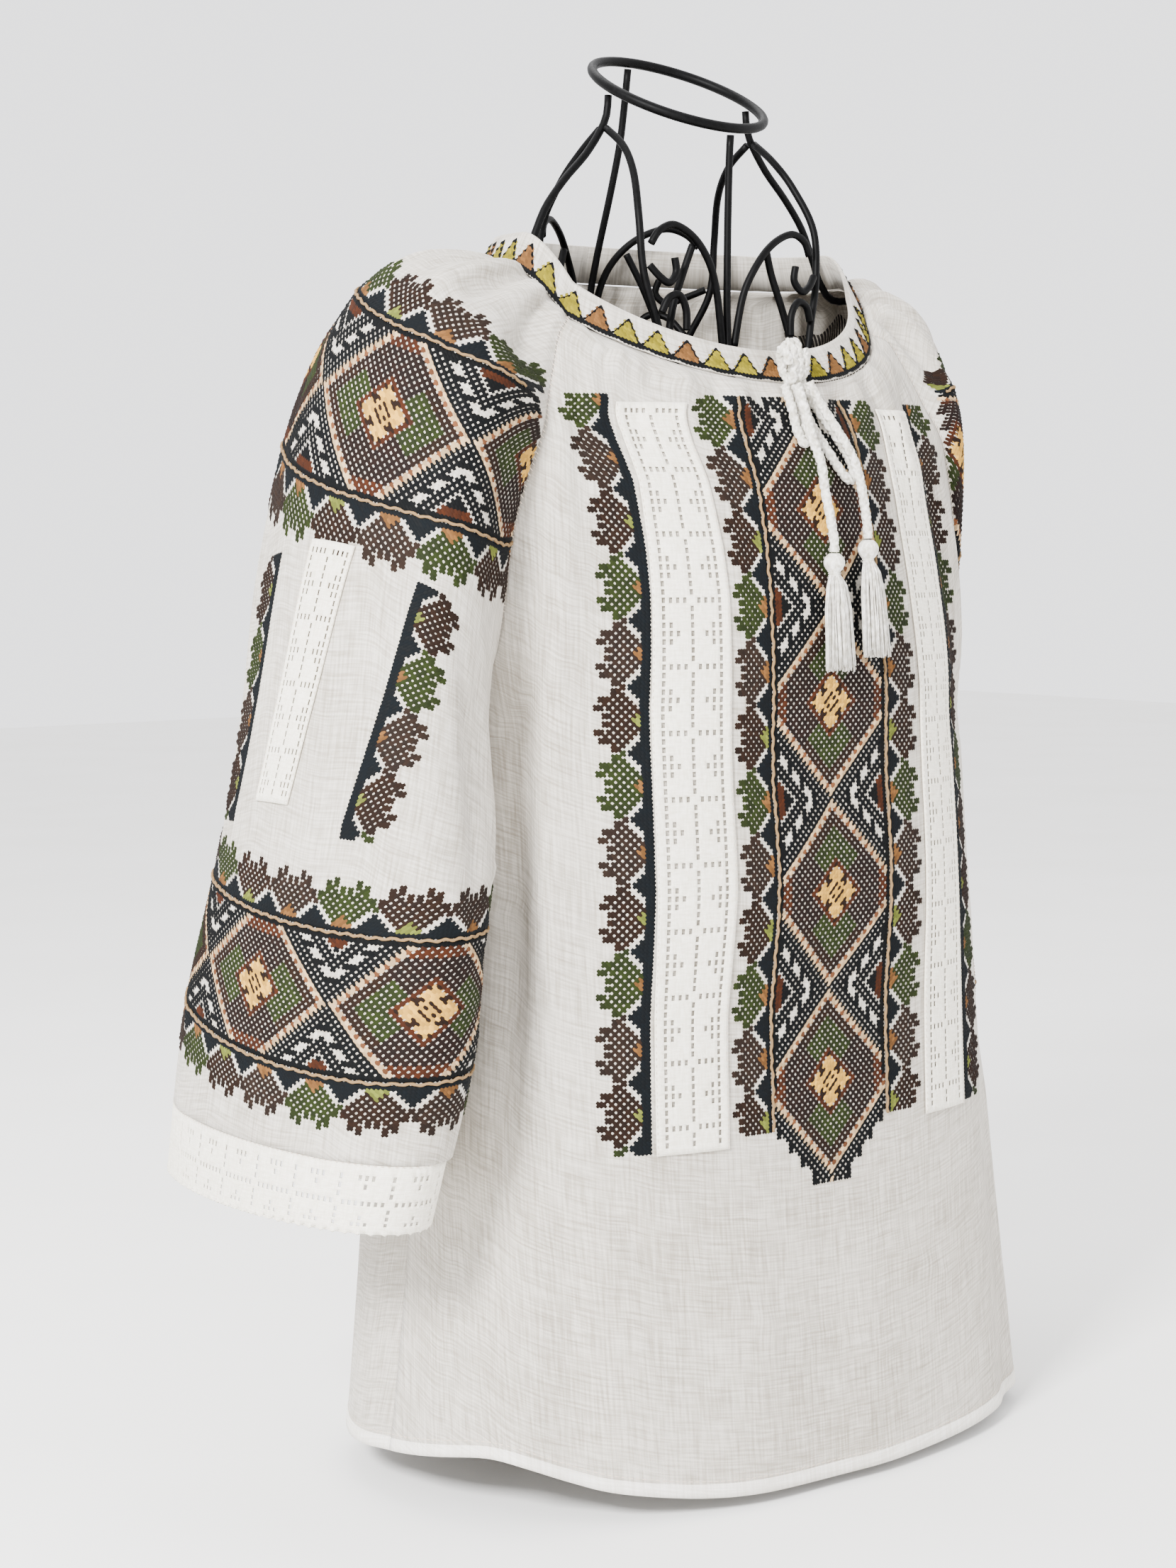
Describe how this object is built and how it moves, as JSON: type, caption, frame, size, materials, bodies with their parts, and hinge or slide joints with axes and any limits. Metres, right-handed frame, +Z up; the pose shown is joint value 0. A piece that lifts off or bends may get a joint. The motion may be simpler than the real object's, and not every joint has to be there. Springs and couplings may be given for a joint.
{
  "type": "dirndl blouse (embroidered peasant blouse, ie) on a wire dress form",
  "caption": "Loose cross-stitched linen peasant blouse with gathered neck, raglan sleeves, lace strips and tasselled tie, standing on a black wire dress form.",
  "frame": {"origin": "at floor level, under the middle of the part's box; the form's own axis stands 13.5 mm towards +X and 19.5 mm towards -Y of it", "axes": "+Z up, -Y towards the front of the blouse, +X towards the wearer's left"},
  "size_m": [0.603, 0.3464, 0.839],
  "materials": {
    "front": "plain-woven off-white linen with slubs, cross-stitched in dark wool and cotton",
    "back": "plain-woven off-white linen with slubs, cross-stitched in dark wool and cotton",
    "sleeve_right": "plain-woven off-white linen with slubs, cross-stitched in dark wool and cotton",
    "sleeve_left": "plain-woven off-white linen with slubs, cross-stitched in dark wool and cotton",
    "neck_band": "plain-woven off-white linen with slubs, cross-stitched in dark wool and cotton",
    "lace_front_right": "white cotton filet crochet lace",
    "lace_front_left": "white cotton filet crochet lace",
    "lace_sleeve_right": "white cotton filet crochet lace",
    "lace_sleeve_left": "white cotton filet crochet lace",
    "lace_cuff_right": "white cotton filet crochet lace",
    "lace_cuff_left": "white cotton filet crochet lace",
    "tie_knot": "white plaited cotton cord and tassel yarn",
    "tie_loop_short": "white plaited cotton cord and tassel yarn",
    "tie_loop_long": "white plaited cotton cord and tassel yarn",
    "tie_end_right": "white plaited cotton cord and tassel yarn",
    "tie_end_left": "white plaited cotton cord and tassel yarn",
    "tassel_right": "white plaited cotton cord and tassel yarn",
    "tassel_left": "white plaited cotton cord and tassel yarn",
    "form_neck_ring": "black satin-painted steel wire",
    "form_upright_front": "black satin-painted steel wire",
    "form_upright_back": "black satin-painted steel wire",
    "form_upright_right": "black satin-painted steel wire",
    "form_upright_left": "black satin-painted steel wire",
    "form_sweep_front_right": "black satin-painted steel wire",
    "form_sweep_front_left": "black satin-painted steel wire",
    "form_sweep_back_right": "black satin-painted steel wire",
    "form_sweep_back_left": "black satin-painted steel wire",
    "form_arch_front_right": "black satin-painted steel wire",
    "form_arch_front_left": "black satin-painted steel wire",
    "form_arch_back_right": "black satin-painted steel wire",
    "form_arch_back_left": "black satin-painted steel wire",
    "form_hook_high_front_right": "black satin-painted steel wire",
    "form_hook_high_front_left": "black satin-painted steel wire",
    "form_hook_high_back_right": "black satin-painted steel wire",
    "form_hook_high_back_left": "black satin-painted steel wire",
    "form_hook_low_front_right": "black satin-painted steel wire",
    "form_hook_low_front_left": "black satin-painted steel wire",
    "form_hook_low_back_right": "black satin-painted steel wire",
    "form_hook_low_back_left": "black satin-painted steel wire",
    "form_brace_front_right": "black satin-painted steel wire",
    "form_brace_front_left": "black satin-painted steel wire",
    "form_brace_back_right": "black satin-painted steel wire",
    "form_brace_back_left": "black satin-painted steel wire",
    "form_hoop_bust": "black satin-painted steel wire",
    "form_hoop_waist": "black satin-painted steel wire",
    "form_base_hoop": "black satin-painted steel wire"
  },
  "bodies": {
    "root": {"front": "front", "back": "back", "sleeve_right": "sleeve_right", "sleeve_left": "sleeve_left", "neck_band": "neck_band", "lace_front_right": "lace_front_right", "lace_front_left": "lace_front_left", "lace_sleeve_right": "lace_sleeve_right", "lace_sleeve_left": "lace_sleeve_left", "lace_cuff_right": "lace_cuff_right", "lace_cuff_left": "lace_cuff_left", "tie_knot": "tie_knot", "tie_loop_short": "tie_loop_short", "tie_loop_long": "tie_loop_long", "tie_end_right": "tie_end_right", "tie_end_left": "tie_end_left", "tassel_right": "tassel_right", "tassel_left": "tassel_left", "form_neck_ring": "form_neck_ring", "form_upright_front": "form_upright_front", "form_upright_back": "form_upright_back", "form_upright_right": "form_upright_right", "form_upright_left": "form_upright_left", "form_sweep_front_right": "form_sweep_front_right", "form_sweep_front_left": "form_sweep_front_left", "form_sweep_back_right": "form_sweep_back_right", "form_sweep_back_left": "form_sweep_back_left", "form_arch_front_right": "form_arch_front_right", "form_arch_front_left": "form_arch_front_left", "form_arch_back_right": "form_arch_back_right", "form_arch_back_left": "form_arch_back_left", "form_hook_high_front_right": "form_hook_high_front_right", "form_hook_high_front_left": "form_hook_high_front_left", "form_hook_high_back_right": "form_hook_high_back_right", "form_hook_high_back_left": "form_hook_high_back_left", "form_hook_low_front_right": "form_hook_low_front_right", "form_hook_low_front_left": "form_hook_low_front_left", "form_hook_low_back_right": "form_hook_low_back_right", "form_hook_low_back_left": "form_hook_low_back_left", "form_brace_front_right": "form_brace_front_right", "form_brace_front_left": "form_brace_front_left", "form_brace_back_right": "form_brace_back_right", "form_brace_back_left": "form_brace_back_left", "form_hoop_bust": "form_hoop_bust", "form_hoop_waist": "form_hoop_waist", "form_base_hoop": "form_base_hoop"}
  },
  "joints": []
}
